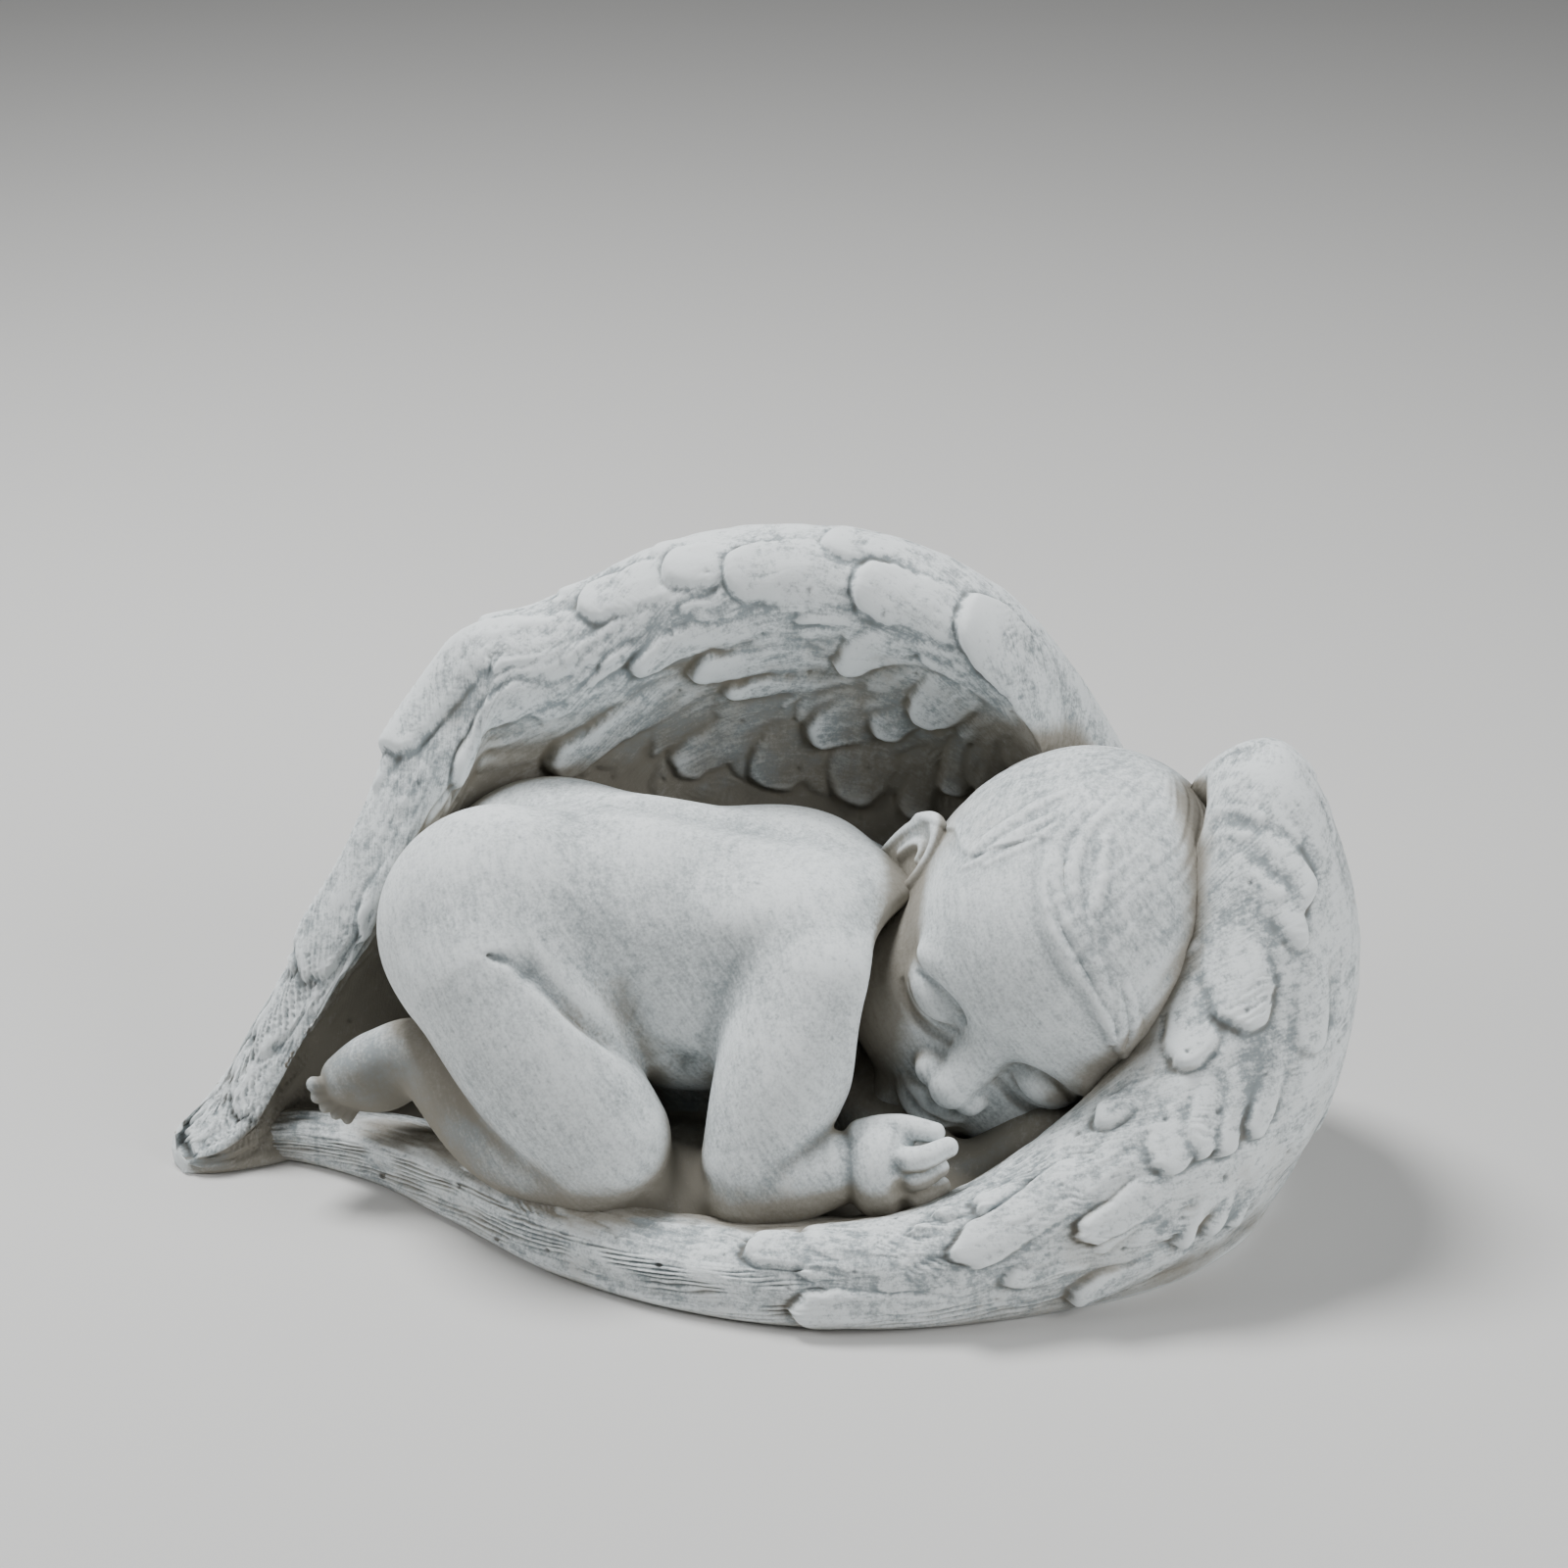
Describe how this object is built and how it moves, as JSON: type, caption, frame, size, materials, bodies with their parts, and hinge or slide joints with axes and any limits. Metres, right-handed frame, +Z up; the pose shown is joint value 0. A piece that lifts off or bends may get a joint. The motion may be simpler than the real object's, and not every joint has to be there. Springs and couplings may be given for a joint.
{
  "type": "sleeping angel statue",
  "caption": "Cast stone statue of an infant asleep on its front inside feathered wings, with a flat underside.",
  "frame": {"origin": "middle of the flat underside, under the centre of the statue's box", "axes": "+X from the feet to the head along the length, +Y away from the viewer towards the tall wing, +Z up"},
  "size_m": [0.3065, 0.1719, 0.1576],
  "materials": {
    "cast_stone": "matt, with a pale brushed wash and darker hollows"
  },
  "bodies": {
    "root": {"sleeping_angel": "cast_stone"}
  },
  "joints": []
}
